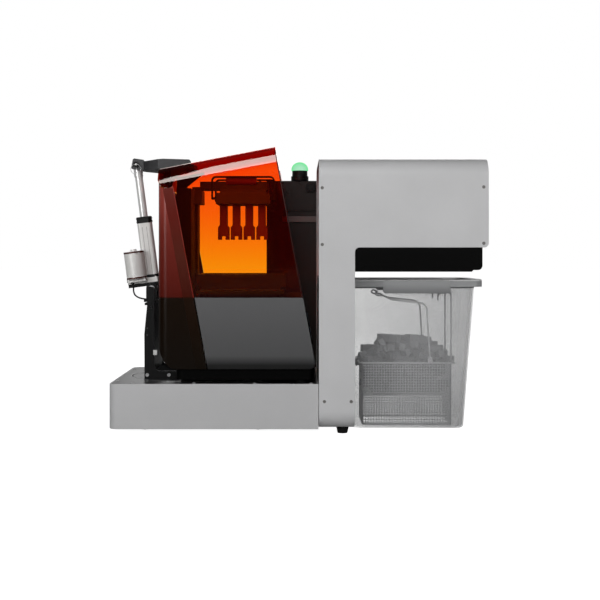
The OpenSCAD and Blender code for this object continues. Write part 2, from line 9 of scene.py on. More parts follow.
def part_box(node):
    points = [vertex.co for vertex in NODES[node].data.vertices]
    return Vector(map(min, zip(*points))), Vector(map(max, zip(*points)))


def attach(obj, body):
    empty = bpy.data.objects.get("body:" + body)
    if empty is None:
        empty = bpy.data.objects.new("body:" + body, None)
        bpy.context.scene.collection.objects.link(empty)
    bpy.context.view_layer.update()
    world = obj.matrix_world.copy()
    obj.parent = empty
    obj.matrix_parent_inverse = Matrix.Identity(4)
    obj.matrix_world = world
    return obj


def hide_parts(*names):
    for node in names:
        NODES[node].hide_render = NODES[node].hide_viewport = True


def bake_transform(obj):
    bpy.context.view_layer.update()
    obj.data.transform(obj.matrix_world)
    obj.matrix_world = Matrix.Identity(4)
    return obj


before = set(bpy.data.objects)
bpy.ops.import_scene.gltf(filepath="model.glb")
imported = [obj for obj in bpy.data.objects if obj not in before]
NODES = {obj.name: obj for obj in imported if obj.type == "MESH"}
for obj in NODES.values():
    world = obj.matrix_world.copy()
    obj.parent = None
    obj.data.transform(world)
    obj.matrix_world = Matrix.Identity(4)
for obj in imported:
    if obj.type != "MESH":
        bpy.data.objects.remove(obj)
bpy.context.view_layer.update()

# Lengths below are millimetres, and y is measured from the centre plane of the tray and printer.
MM = 0.001
MID = sum(v.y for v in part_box("build_platform"))/2
CENTRE = Vector((0, MID, 0))


def span(node):
    """Lowest and highest corner of a CAD node, in millimetres from the centre plane."""
    lo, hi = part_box(node)
    return (lo - CENTRE)/MM, (hi - CENTRE)/MM


def point(x, y, z):
    """A place in millimetres from the centre plane, as the scene's metres."""
    return CENTRE + Vector((x, y, z))*MM


def across(side, inner, outer):
    """Two distances from the centre plane as y values, lowest first, on the near (-1) or far (1) side."""
    return sorted((side*inner, side*outer))


# ---------------------------------------------------------------- camera
NEAR_FACE = span("base_tray")[0].y
CAMERA_SIDE = 3.5
CAMERA_BACK = 2750
CAMERA_HEIGHT = 431
CAMERA_LENS = 69.33
CAMERA_SHIFT = -0.075
CAMERA_REACH = 60
camera_data = bpy.data.cameras.new("camera")
camera = bpy.data.objects.new("camera", camera_data)
bpy.context.scene.collection.objects.link(camera)
bpy.context.scene.camera = camera
camera.location = point(CAMERA_SIDE, NEAR_FACE - CAMERA_BACK, CAMERA_HEIGHT)
camera.rotation_euler = (math.radians(90), 0, 0)
camera_data.lens = CAMERA_LENS
camera_data.shift_y = CAMERA_SHIFT
camera_data.clip_end = CAMERA_REACH
bpy.context.scene.view_settings.view_transform = "Standard"

# ---------------------------------------------------------------- shapes
ROUND_STEPS = 6


def fillet(points, radius):
    """The polyline with each inner corner rounded to the radius."""
    pts = [Vector(p) for p in points]
    out = [pts[0]]
    for a, b, c in zip(pts, pts[1:], pts[2:]):
        u, w = (a - b), (c - b)
        reach = min(radius, u.length*0.48, w.length*0.48)
        start, end = b + u.normalized()*reach, b + w.normalized()*reach
        for i in range(ROUND_STEPS + 1):
            t = i/ROUND_STEPS
            out.append(start*(1 - t)**2 + b*2*t*(1 - t) + end*t*t)
    return out + [pts[-1]]


def round_rect(x0, y0, x1, y1, r):
    """Corners of a rectangle rounded to r, anticlockwise."""
    out = []
    centres = ((x1 - r, y1 - r), (x0 + r, y1 - r), (x0 + r, y0 + r), (x1 - r, y0 + r))
    for quarter, (cx, cy) in enumerate(centres):
        for i in range(ROUND_STEPS + 1):
            a = math.radians(90*(quarter + i/ROUND_STEPS))
            out.append((cx + r*math.cos(a), cy + r*math.sin(a)))
    return out


def turned(axis):
    """Matrix that takes +Z to the axis."""
    return Vector(axis).to_track_quat("Z", "Y").to_matrix().to_4x4()


class Shape:
    """Collects solids, in millimetres from the centre plane, and makes one piece of them."""

    def __init__(self, place=Matrix.Identity(4)):
        self.bm = bmesh.new()
        self.place = place

    def add(self, verts, faces):
        made = [self.bm.verts.new(self.place @ Vector(v)) for v in verts]
        for f in faces:
            self.bm.faces.new([made[i] for i in f])
        return self

    def loft(self, loops, closed=False):
        """Skin over loops of equally many points, capped at both ends unless it closes on itself."""
        n = len(loops[0])
        verts = [v for loop in loops for v in loop]
        faces = []
        rows = len(loops) if closed else len(loops) - 1
        for j in range(rows):
            a, b = j*n, ((j + 1) % len(loops))*n
            faces += [(a + i, a + (i + 1) % n, b + (i + 1) % n, b + i) for i in range(n)]
        if not closed:
            faces += [tuple(reversed(range(n))), tuple(range((len(loops) - 1)*n, len(loops)*n))]
        return self.add(verts, faces)

    def box(self, lo, hi):
        return self.loft([[(lo[0], lo[1], z), (hi[0], lo[1], z), (hi[0], hi[1], z), (lo[0], hi[1], z)]
                          for z in (lo[2], hi[2])])

    def prism(self, outline, lo, hi, axis="y"):
        """Outline of (x, z), (y, z) or (x, y) points pushed from lo to hi along y, x or z."""
        seats = {"x": lambda p, d: (d, p[0], p[1]),
                 "y": lambda p, d: (p[0], d, p[1]),
                 "z": lambda p, d: (p[0], p[1], d)}
        return self.loft([[seats[axis](p, d) for p in outline] for d in (lo, hi)])

    def lathe(self, profile, at, axis=(0, 0, 1), steps=40, lobe=None, hollow=False):
        """Profile of (radius, height) turned about the axis, and joined end to start if it is hollow.

        A radius of None lies on a hexagon of size lobe."""
        turn = Matrix.Translation(Vector(at)) @ turned(axis)
        loops = []
        for r, h in profile:
            loop = []
            for i in range(steps):
                a = 2*math.pi*i/steps
                flat = (a % (math.pi/3)) - math.pi/6
                size = lobe/math.cos(flat) if r is None else max(r, 0.02)
                loop.append(turn @ Vector((size*math.cos(a), size*math.sin(a), h)))
            loops.append(loop)
        return self.loft(loops, hollow)

    def sleeve(self, half, corner, bore, lo, hi):
        """Square sleeve along z with rounded corners and a round bore."""
        outside = round_rect(-half, -half, half, half, corner)
        inside = round_rect(-bore, -bore, bore, bore, bore)
        return self.loft([[(x, y, z) for x, y in loop] for loop, z in
                          ((outside, lo), (outside, hi), (inside, hi), (inside, lo))], closed=True)

    def screw(self, at, axis, r, h):
        """Socket-head screw that stands h proud of the surface at the point."""
        c = r*0.16
        return self.lathe([(r, -h*0.5), (r, h - c), (r - c, h), (None, h), (None, h*0.15), (0, h*0.05)],
                          at, axis, 24, r*0.5)

    def tube(self, points, r, sides=12):
        """Round bar along the points."""
        pts = [Vector(p) for p in points]
        loops, normal = [], None
        for i, p in enumerate(pts):
            d = (pts[min(i + 1, len(pts) - 1)] - pts[max(i - 1, 0)]).normalized()
            if normal is None:
                normal = d.orthogonal().normalized()
            normal = (normal - d*normal.dot(d)).normalized()
            other = d.cross(normal)
            loops.append([p + (normal*math.cos(a) + other*math.sin(a))*r
                          for a in (2*math.pi*k/sides for k in range(sides))])
        return self.loft(loops)

    def piece(self, name, body, material, slot, bevel=0.0, replaces=()):
        """Makes the object, which rides on the body and stands in for the CAD nodes that it replaces."""
        bmesh.ops.recalc_face_normals(self.bm, faces=self.bm.faces)
        self.bm.transform(Matrix.Translation(CENTRE) @ Matrix.Diagonal((MM, MM, MM, 1)))
        mesh = bpy.data.meshes.new(name)
        self.bm.to_mesh(mesh)
        self.bm.free()
        piece = bpy.data.objects.new(name, mesh)
        bpy.context.scene.collection.objects.link(piece)
        soften(piece, bevel)
        mesh.materials.append(material)
        if body:
            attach(piece, body)
        if replaces:
            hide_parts(*replaces)
        return piece


def soften(piece, bevel):
    """Smooth shading with rounded edges of that radius in millimetres."""
    mesh = piece.data
    mesh.shade_smooth()
    if not bevel:
        mesh.set_sharp_from_angle(angle=math.radians(35))
        return
    edges = piece.modifiers.new("round", "BEVEL")
    edges.width = bevel*MM
    edges.segments = 2
    edges.limit_method = "ANGLE"
    edges.angle_limit = math.radians(28)
    edges.miter_outer = "MITER_ARC"
    flats = piece.modifiers.new("flats", "WEIGHTED_NORMAL")
    flats.mode = "FACE_AREA"
    flats.weight = 100
    flats.keep_sharp = False


# ---------------------------------------------------------------- materials
def rgb(r, g, b):
    """Colour as seen, 0 to 255, in the renderer's linear light."""
    return tuple(c/255/12.92 if c <= 10 else ((c/255 + 0.055)/1.055)**2.4 for c in (r, g, b)) + (1.0,)


class Nodes:
    """The node tree of a material or world, with short calls to add and join nodes."""

    def __init__(self, block, output="OutputMaterial"):
        self.block = block
        block.use_nodes = True
        self.tree = block.node_tree
        self.tree.nodes.clear()
        self.output = self.add(output)

    def add(self, kind, inputs=None, **settings):
        node = self.tree.nodes.new("ShaderNode" + kind)
        for key, value in settings.items():
            setattr(node, key, value)
        for key, value in (inputs or {}).items():
            if isinstance(value, bpy.types.NodeSocket):
                self.tree.links.new(value, node.inputs[key])
            else:
                node.inputs[key].default_value = value
        return node

    def place(self, stretch=(1, 1, 1)):
        at = self.add("TexCoord").outputs["Object"]
        return self.add("Mapping", {"Vector": at, "Scale": stretch}).outputs["Vector"]

    def noise(self, size, stretch=(1, 1, 1)):
        """Noise with grains of that size in millimetres."""
        inputs = {"Vector": self.place(stretch), "Scale": 1/(size*MM), "Detail": 3.0}
        return self.add("TexNoise", inputs).outputs["Fac"]

    def ramp(self, value, stops):
        node = self.add("ValToRGB", {"Fac": value})
        lights = node.color_ramp.elements
        while len(lights) < len(stops):
            lights.new(0.5)
        for light, (at, colour) in zip(lights, stops):
            light.position, light.color = at, colour
        return node.outputs["Color"]

    def along(self, direction, start, end):
        """0 to 1 between two distances in millimetres along a direction."""
        at = self.add("TexCoord").outputs["Object"]
        dot = self.add("VectorMath", {0: at, 1: Vector(direction)}, operation="DOT_PRODUCT")
        return self.remap(dot.outputs["Value"], start*MM, end*MM, 0.0, 1.0)

    def remap(self, value, start, end, low, high):
        """low to high as the value goes from start to end."""
        inputs = {"Value": value, "From Min": start, "From Max": end, "To Min": low, "To Max": high}
        return self.add("MapRange", inputs).outputs["Result"]

    def times(self, a, b):
        return self.add("Math", {0: a, 1: b}, operation="MULTIPLY").outputs[0]

    def sum(self, *shaders):
        total = shaders[0]
        for shader in shaders[1:]:
            total = self.add("AddShader", {0: total, 1: shader}).outputs[0]
        return total

    def mix(self, fac, a, b, blend="MIX"):
        node = self.add("Mix", data_type="RGBA", blend_type=blend)
        for key, value in ((0, fac), (6, a), (7, b)):
            if isinstance(value, bpy.types.NodeSocket):
                self.tree.links.new(value, node.inputs[key])
            else:
                node.inputs[key].default_value = value
        return node.outputs[2]

    def done(self, surface, volume=None):
        self.tree.links.new(surface, self.output.inputs["Surface"])
        if volume:
            self.tree.links.new(volume, self.output.inputs["Volume"])
        return self.block


def tint(colour, k):
    return tuple(min(1.0, c*k) for c in colour[:3]) + (1.0,)


def finish(name, colour, rough, metal=0.0, grain=0.8, speck=0.06, bump=0.03, coat=0.0,
           stretch=(1, 1, 1), shade=None, specular=0.5):
    """Painted, plastic or metal surface with fine grain, faint broad variation and a shade along it."""
    n = Nodes(bpy.data.materials.new(name))
    fine = n.noise(grain, stretch)
    broad = n.noise(90)
    base = shade(n) if shade else n.mix(broad, tint(colour, 1 - speck), tint(colour, 1 + speck))
    spots = n.ramp(fine, [(0.35, (1 - speck,)*3 + (1,)), (0.65, (1,)*4)])
    grained = n.mix(1.0, base, spots, "MULTIPLY")
    roughness = n.remap(fine, 0.0, 1.0, max(0.02, rough - 0.05), rough + 0.05)
    inputs = {"Base Color": grained, "Roughness": roughness, "Metallic": metal,
              "Coat Weight": coat, "Coat Roughness": 0.08, "Specular IOR Level": specular}
    if bump:
        relief = n.add("Bump", {"Height": fine, "Strength": bump, "Distance": 0.0004})
        inputs["Normal"] = relief.outputs["Normal"]
    return n.done(n.add("BsdfPrincipled", inputs).outputs[0])


def upward(*stops):
    """Shade that changes with height: (height in millimetres, colour) from the lowest up."""
    low, high = stops[0][0], stops[-1][0]

    def paint(n):
        height = n.along((0, 0, 1), low, high)
        return n.ramp(height, [((z - low)/(high - low), colour) for z, colour in stops])
    return paint


def acrylic(name, absorb, density, top_tint, low, high, seam):
    """Clear tinted acrylic, smoked behind the seam and darker through the lid.

    The body takes up light with its thickness, and the faces mirror at a slant.
    """
    n = Nodes(bpy.data.materials.new(name))
    through = n.ramp(n.along((0, 0, 1), low, high), [(0, (1, 1, 1, 1)), (1, top_tint)])
    behind = n.along((1, 0, math.tan(LEAN)), seam - 2, seam)
    through = n.mix(behind, (0.42, 0.3, 0.3, 1), through)
    facing = n.add("NewGeometry")
    upright = n.add("SeparateXYZ", {0: facing.outputs["Normal"]}).outputs["Z"]
    lid = n.remap(n.add("Math", {0: upright}, operation="ABSOLUTE").outputs[0], 0.8, 0.95, 0.0, 1.0)
    through = n.mix(lid, through, (0.6, 0.25, 0.5, 1))
    clear = n.add("BsdfTransparent", {"Color": through}).outputs[0]
    rough = n.remap(n.noise(60), 0.0, 1.0, 0.03, 0.06)
    slant = n.add("Fresnel", {"IOR": 2.2}).outputs[0]
    inside = facing.outputs["Backfacing"]
    shown = n.add("Math", {0: slant, 1: inside}, operation="SUBTRACT", use_clamp=True).outputs[0]
    mirror = n.mix(shown, (0, 0, 0, 1), (1, 0.9, 0.84, 1))
    gloss = n.add("BsdfGlossy", {"Color": mirror, "Roughness": rough}).outputs[0]
    body = n.add("BsdfDiffuse", {"Color": n.mix(inside, (0.012, 0, 0, 1), (0, 0, 0, 1))}).outputs[0]
    volume = n.add("VolumeAbsorption", {"Color": absorb, "Density": density}).outputs[0]
    return n.done(n.sum(clear, gloss, body), volume)


def frosted(name, colour, shaded_low_colour, veil, top):
    """Frosted translucent plastic: a veil over what is behind it, denser towards the bottom and the end.
    Its colour is painted light and shade: lighter towards the top, darker towards the bottom and darker at
    the far end.
    """
    n = Nodes(bpy.data.materials.new(name))
    cloud = n.noise(25)
    height = n.along((0, 0, 1), 0, top)
    endwards = n.along((1, 0, 0), 150, 450)
    # Painted light and shade: the colour is lighter at the top than at the bottom, and darker at the far
    # end than at the tower end.
    tower_end_shading = n.mix(height, shaded_low_colour, colour)
    far_end_shading = n.mix(height, tint(shaded_low_colour, 0.8), tint(colour, 0.66))
    pale = n.mix(endwards, tower_end_shading, far_end_shading)
    body = n.add("BsdfDiffuse", {"Color": pale}).outputs[0]
    lit = n.add("BsdfTranslucent", {"Color": pale}).outputs[0]
    soft = n.add("MixShader", {0: 0.3, 1: body, 2: lit}).outputs[0]
    sheen = n.add("BsdfGlossy", {"Color": (1, 1, 1, 1), "Roughness": 0.5}).outputs[0]
    slant = n.add("Fresnel", {"IOR": 1.35}).outputs[0]
    skin = n.add("MixShader", {0: slant, 1: soft, 2: sheen}).outputs[0]
    clear = n.add("BsdfTransparent", {"Color": (1, 1, 1, 1)}).outputs[0]
    by_height = n.remap(height, 0.0, 1.0, veil*1.5, veil)
    by_end = n.remap(endwards, 0.0, 1.0, n.times(by_height, 0.8), n.times(by_height, 1.55))
    density = n.add("Math", {0: by_end, 1: n.remap(cloud, 0.0, 1.0, -0.02, 0.02)}).outputs[0]
    return n.done(n.add("MixShader", {0: density, 1: clear, 2: skin}).outputs[0])


def glowing(name, colour, rim, strength):
    """Lit lens: brighter where it faces the eye less."""
    n = Nodes(bpy.data.materials.new(name))
    facing = n.add("LayerWeight", {"Blend": 0.4}).outputs["Facing"]
    glow = n.add("Emission", {"Color": n.mix(facing, colour, rim), "Strength": strength}).outputs[0]
    skin = n.add("BsdfPrincipled", {"Base Color": rim, "Roughness": 0.15}).outputs[0]
    lit_share = n.remap(n.noise(3), 0.0, 1.0, 0.72, 0.86)
    return n.done(n.add("MixShader", {0: lit_share, 1: skin, 2: glow}).outputs[0])


COVER_LO, COVER_HI = span("cover_shell")
LEAN = math.radians(10.5)
COVER_DEPTH = 260
COVER_SEAM = COVER_HI.x - COVER_DEPTH + COVER_LO.z*math.tan(LEAN)
MAT = {
    "tray": finish("tray_paint", rgb(194, 194, 195), 0.42, grain=0.6, bump=0.05),
    "shell": finish("shell_paint", rgb(205, 205, 206), 0.40, grain=0.6, bump=0.05),
    "deck": finish("deck_satin", rgb(24, 24, 25), 0.30, grain=0.7, bump=0.03),
    "tile": finish("screen_tile", rgb(64, 84, 110), 0.3),
    "steel": finish("screw_steel", rgb(200, 200, 201), 0.3, metal=0.5, grain=0.5),
    "post_screw": finish("post_screw_steel", rgb(200, 200, 201), 0.3, metal=0.4, grain=0.5,
                         shade=upward((190, rgb(205, 205, 206)), (200, rgb(30, 30, 31)))),
    "shell_screw": finish("shell_screw_steel", rgb(122, 120, 117), 0.4, metal=0.2, grain=0.5),
    "dark_steel": finish("blackened_steel", rgb(64, 64, 66), 0.35, metal=0.5, grain=0.5),
    "chrome": finish("rod_chrome", rgb(244, 244, 243), 0.2, metal=0.25, grain=0.4, speck=0.02, bump=0.0),
    "rubber": finish("foot_rubber", rgb(16, 16, 16), 0.75, grain=0.5, bump=0.1, specular=0.2),
    "black": finish("black_plastic", rgb(16, 16, 16), 0.5, grain=0.4, bump=0.08, specular=0.3),
    "base": finish("printer_base_black", rgb(2, 2, 2), 0.6, grain=0.4, bump=0.04, specular=0.05),
    "black_metal": finish("black_satin_metal", rgb(16, 16, 16), 0.38, grain=0.5, bump=0.04, specular=0.2),
    "column": finish("column_black", rgb(46, 38, 36), 0.42, grain=0.5, bump=0.04, specular=0.25),
    "column_strip": finish("column_strip", rgb(114, 99, 96), 0.42, grain=0.5, bump=0.04),
    "housing": finish("housing_black", rgb(4, 4, 4), 0.5, grain=0.5, bump=0.03, specular=0.06),
    "yoke": finish("yoke_grey", rgb(52, 52, 54), 0.4, grain=0.5, bump=0.04),
    "glass": finish("screen_glass", rgb(6, 6, 8), 0.06, grain=0.5, bump=0.0, coat=0.6),
    "aluminium": finish("anodised_aluminium", rgb(242, 241, 238), 0.34, metal=0.12, grain=0.25,
                        stretch=(1, 1, 0.04)),
    # Darker grey of the tube's groove lines: painted shade inside the grooves.
    "groove_shade": finish("aluminium_groove_painted_shade", rgb(172, 171, 168), 0.4, metal=0.1),
    "cast": finish("platform_aluminium", rgb(62, 62, 64), 0.42, metal=0.4, grain=0.3),
    "inner_rail": finish("rail_steel", rgb(90, 90, 92), 0.35, metal=0.5, grain=0.4),
    "mixer": finish("mixer_black", rgb(20, 20, 20), 0.4),
    "resin_print": finish("printed_red_resin", rgb(124, 26, 10), 0.45, grain=0.25, bump=0.1,
                          stretch=(1, 1, 6)),
    "pile": finish("printed_grey_resin", rgb(172, 172, 174), 0.5, grain=0.25, bump=0.1, stretch=(1, 1, 6)),
    "basket": finish("basket_steel", rgb(232, 232, 233), 0.4, metal=0.05, grain=0.4),
    # White of the lead's connector, also used as a painted highlight on the upper pin's head.
    "white": finish("connector_white_and_pin_highlight", rgb(225, 225, 222), 0.4),
    "lead": finish("lead_jacket", rgb(24, 24, 25), 0.5, grain=0.3),
    "copper_ring": finish("motor_end_ring", rgb(84, 44, 36), 0.35, metal=0.3),
    # The panels' colour is painted shade by height: near black at the bottom, fading to grey by 190 mm
    # where the lower rounded edge turns under, and a little lighter towards the top.
    "panel": finish("panel_satin_grey_painted_shade", rgb(84, 84, 85), 0.42, grain=0.6, bump=0.04, specular=0.3,
                    shade=upward((156, rgb(3, 3, 3)), (168, rgb(16, 16, 16)), (190, rgb(80, 80, 81)),
                                 (329, rgb(94, 94, 95)))),
    # The rear shell's colour is painted by height: near black below 330 mm and red above it, painted light
    # standing in for the dark lower printer and the lit amber chamber seen through the smoked shell, and
    # lighter towards the top as a painted highlight.
    "rear": finish("rear_smoked_brown_painted_light", rgb(120, 45, 35), 0.25, speck=0.04, bump=0.0, specular=0.15,
                   shade=upward((160, rgb(13, 6, 1)), (328, rgb(22, 10, 2)), (332, rgb(82, 20, 12)),
                                (480, rgb(112, 38, 30)), (600, rgb(156, 68, 60)))),
    # The seam band's colour is painted the same way: near black below 330 mm and red above it, painted
    # light standing in for what shows through the smoked shell.
    "band": finish("seam_band_smoked_painted_light", rgb(60, 25, 18), 0.28, speck=0.04, bump=0.0, specular=0.12,
                   shade=upward((160, rgb(14, 7, 1)), (328, rgb(30, 14, 3)), (332, rgb(66, 16, 5)),
                                (430, rgb(82, 32, 22)), (526, rgb(96, 24, 15)), (600, rgb(100, 36, 28)))),
    "tank": finish("tank_amber", rgb(34, 4, 2), 0.25, grain=0.8, bump=0.0),
    "cover": acrylic("cover_amber_acrylic", (0.985, 0.78, 0.02, 1), 900, (1, 0.7, 1, 1), 400, 620,
                     COVER_SEAM),
    # Dark strip colour: painted shade for the acrylic's dark look seen edge-on.
    "cover_edge": finish("cover_edge_painted_shade", rgb(46, 6, 3), 0.3, bump=0.0),
    # Reddish colour of the seam lines: a painted glow of the acrylic's edge.
    "seam_glow": finish("acrylic_edge_painted_glow", rgb(150, 30, 14), 0.3, bump=0.0),
    # The bin's two colours are painted light at the top and painted shade at the bottom.
    "bin": frosted("bin_frosted", rgb(228, 229, 230), rgb(190, 191, 192), 0.2, 371),
    # The rim and the grips are painted lighter towards their tops, the rim near white on its top edge, as
    # painted light where the hood shades them.
    "rim": finish("bin_rim_frosted_painted_light", rgb(164, 165, 166), 0.5, grain=0.6, bump=0.03, specular=0.3,
                  shade=upward((348, rgb(166, 167, 168)), (366, rgb(176, 177, 178)),
                               (369.5, rgb(252, 252, 252)))),
    "grip": finish("bin_grip_frosted_painted_light", rgb(134, 135, 136), 0.5, grain=0.6, bump=0.03, specular=0.3,
                   shade=upward((337, rgb(126, 127, 128)), (346, rgb(140, 141, 142)),
                                (366, rgb(186, 187, 188)))),
    "beacon": glowing("beacon_green_glow", rgb(190, 242, 212), rgb(0, 250, 118), 1.0),
}


# ---------------------------------------------------------------- lead of the opener's motor
def eased(points):
    """Smooth curve through the points."""
    steps = 4
    pts = [Vector(p) for p in points]
    pts = [pts[0]*2 - pts[1]] + pts + [pts[-1]*2 - pts[-2]]
    out = []
    for a, b, c, d in zip(pts, pts[1:], pts[2:], pts[3:]):
        for i in range(steps):
            t = i/steps
            out.append((b*2 + (c - a)*t + (a*2 - b*5 + c*4 - d)*t*t + (b*3 - a - c*3 + d)*t**3)/2)
    return out + [pts[-2]]


LEAD_EXIT = (-420, -20, 347.3)
LEAD_END = (-375, -54, 312.3)
lead_path = eased([LEAD_EXIT, (-419.5, -21, 338), (-415, -25, 329), (-405, -31, 323), (-393, -38.5, 320.5),
                   (-382.5, -46.5, 319.3), (-377, -51.5, 317), LEAD_END])
motor_lead = Shape().tube(lead_path, 2.0, 16).piece("motor_lead", None, MAT["lead"], "lead_rubber", 0,
                                                    ["actuator_lead"])
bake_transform(motor_lead)


# ---------------------------------------------------------------- CAD nodes that are shown as they are
def dress(material, bevel, *names):
    """CAD nodes keep their meshes and take a material and edges rounded to the bevel."""
    for name in names:
        piece = NODES[name]
        mesh = piece.data
        mesh.materials.clear()
        mesh.materials.append(material)
        for p in mesh.polygons:
            p.material_index = 0
        if mesh.has_custom_normals:
            mesh.attributes.remove(mesh.attributes["custom_normal"])
        weld = piece.modifiers.new("weld", "WELD")
        weld.merge_threshold = 0.00001
        flat = piece.modifiers.new("flat", "DECIMATE")
        flat.decimate_type = "DISSOLVE"
        flat.angle_limit = math.radians(0.3)
        soften(piece, bevel)


dress(MAT["tray"], 1.2, "base_tray")
dress(MAT["deck"], 0.5, "tray_deck", "locating_disc")
dress(MAT["rubber"], 0.8, "leveling_feet", "printer_feet")
dress(MAT["base"], 0.8, "printer_base")
dress(MAT["black"], 0.8, "light_unit", "power_inlet", "tower_core", "inner_liner", "beacon_base")
dress(MAT["panel"], 0.8, "side_panel_near", "side_panel_far", "front_lower_panel")
dress(MAT["glass"], 1.0, "touchscreen")
dress(MAT["rear"], 0.8, "rear_shell")
dress(MAT["black_metal"], 0.6, "hinge_brackets", "z_column", "z_motor", "cover_hinge_arms", "opener_post",
      "lower_clevis", "actuator_body", "extractor_motor", "platform_fork", "light_unit_rods")
dress(MAT["column"], 0.8, "column_housing", "column_head")
dress(MAT["black_metal"], 0.3, "hinge_pins", "yoke_pin")
dress(MAT["steel"], 0.3, "lower_pin")
dress(MAT["inner_rail"], 0.3, "z_rails", "leadscrew")
dress(MAT["chrome"], 0.3, "actuator_rod", "rod_end")
dress(MAT["tank"], 0.6, "resin_tank")
dress(MAT["mixer"], 0.6, "tank_mixer")
dress(MAT["aluminium"], 0.6, "power_supply", "hood_frame", "extractor_stage", "actuator_motor",
      "actuator_tube")
dress(MAT["cast"], 0.8, "build_platform", "z_carriage")
dress(MAT["black"], 0.8, "platform_handle")
dress(MAT["resin_print"], 0.5, "printed_parts")
dress(MAT["cover"], 0.5, "cover_shell")
dress(MAT["yoke"], 0.4, "yoke")
dress(MAT["shell"], 0.8, "tower_shell")
dress(MAT["housing"], 0.8, "hood_lower_housing")
dress(MAT["beacon"], 0.4, "beacon_lens")
dress(MAT["black"], 0.8, "column_knob")


# ---------------------------------------------------------------- screws of the tray, post and shell
def islands(mesh):
    """The corner points of each separate solid of a mesh."""
    bm = bmesh.new()
    bm.from_mesh(mesh)
    bmesh.ops.remove_doubles(bm, verts=bm.verts, dist=1e-5)
    seen, found = set(), []
    for start in bm.verts:
        if start in seen:
            continue
        seen.add(start)
        stack, members = [start], []
        while stack:
            v = stack.pop()
            members.append(v.co.copy())
            for e in v.link_edges:
                other = e.other_vert(v)
                if other not in seen:
                    seen.add(other)
                    stack.append(other)
        found.append(members)
    bm.free()
    return found


def screws(name, node, axis, material, slot, r, h):
    """One socket-head screw where each separate solid of the CAD node is, facing outwards."""
    shape = Shape()
    for island in islands(NODES[node].data):
        lo, hi = Vector(map(min, *island)), Vector(map(max, *island))
        at, size = ((lo + hi)/2 - CENTRE)/MM, (hi - lo)/MM
        out = Vector(axis) if at.y*axis[1] >= 0 else -Vector(axis)
        shape.screw(at - out*abs(size.dot(out))/2, out, r, h)
    shape.piece(name, "root", material, slot, 0, [node])


screws("deck_screw_heads", "deck_screws", (0, 0, 1), MAT["steel"], "steel", 4.5, 1.4)
screws("shell_screw_heads", "shell_screws", (0, 1, 0), MAT["shell_screw"], "steel", 4.0, 0.9)
screws("post_screw_heads", "post_screws", (0, 1, 0), MAT["post_screw"], "steel", 4.5, 2.5)

# Ring set in the deck round the disc, and a line turned in the disc
DISC_LO, DISC_HI = span("locating_disc")
disc_r = (DISC_HI.x - DISC_LO.x)/2
disc_at = ((DISC_LO.x + DISC_HI.x)/2, 0, DISC_HI.z)


def deck_circle(name, inner, outer, depth, material, slot):
    """Thin ring that stands just proud of the disc, sunk to the depth."""
    proud = 0.25
    shape = Shape()
    section = [(inner, -depth), (inner, proud), (outer, proud), (outer, -depth)]
    shape.lathe(section, disc_at, steps=120, hollow=True)
    shape.piece(name, "root", material, slot)


deck_circle("deck_ring", disc_r + 2.6, disc_r + 4.6, 1, MAT["steel"], "steel")
deck_circle("disc_groove_line", disc_r - 14, disc_r - 13, 0.5, MAT["dark_steel"], "deck_black")

# ---------------------------------------------------------------- printer
REAR_LO, REAR_HI = span("rear_shell")
PRINTER_Y = REAR_HI.y
EDGE_TOP = 668
BAND_WIDTH = 24
BAND_GAP = 2
BAND_TOP = REAR_HI.z - 12
BAND_LOW = REAR_LO.z + 1


def front_x(z):
    """The cover's leaning front edge at a height."""
    return COVER_HI.x - (z - COVER_LO.z)*math.tan(LEAN)


def seam_x(z):
    """The edge where the cover meets the rear shell at a height."""
    return front_x(z) - COVER_DEPTH


def strip(edge, low, top, left, right):
    """Outline of a leaning strip between two distances from an edge."""
    return [(edge(low) + left, low), (edge(low) + right, low),
            (edge(top) + right, top), (edge(top) + left, top)]


# Dark strips along the cover's leaning front edges, painted shade standing in for the dark look of the
# acrylic seen edge-on.
cover_edges = Shape()
for side in (-1, 1):
    cover_edges.prism(strip(front_x, COVER_LO.z, EDGE_TOP, -2.4, -0.4),
                      *across(side, PRINTER_Y - 0.6, PRINTER_Y + 0.25))
cover_edges.piece("cover_edges", "cover", MAT["cover_edge"], "cover_amber")
for side, tag in ((-1, "near"), (1, "far")):
    band = Shape()
    band.prism(strip(seam_x, BAND_LOW, BAND_TOP, -BAND_GAP - BAND_WIDTH, -BAND_GAP),
               *across(side, PRINTER_Y - 0.5, PRINTER_Y + 0.7))
    band.piece("seam_band_" + tag, "root", MAT["band"], "rear_brown", 0.4)
    # A reddish line along each seam is a painted glow of the acrylic's edge where the cover meets the rear
    # shell.
    line = Shape()
    line.prism(strip(seam_x, COVER_LO.z, BAND_TOP, -1.6, -0.4),
               *across(side, PRINTER_Y - 0.6, PRINTER_Y + 0.2))
    line.piece("seam_line_" + tag, "root", MAT["seam_glow"], "rear_brown")

# Blank tiles on the face of the touchscreen
SCREEN_LO, SCREEN_HI = span("touchscreen")
screen_mid = (SCREEN_LO + SCREEN_HI)/2
TILE_WIDTH, TILE_HEIGHT, TILE_GAP = 36, 28, 6
face = Matrix.Translation(screen_mid + Vector((0.9, 0, 0))) @ Matrix.Rotation(-LEAN, 4, "Y")
tiles = Shape(face)
for row in range(2):
    for column in range(3):
        y = -60 + (TILE_WIDTH + TILE_GAP)*column
        z = -32 + (TILE_HEIGHT + 8)*row
        tiles.prism(round_rect(y, z, y + TILE_WIDTH, z + TILE_HEIGHT, 4), 0.9, 1.4, "x")
tiles.piece("screen_tiles", "root", MAT["tile"], "screen_glass")

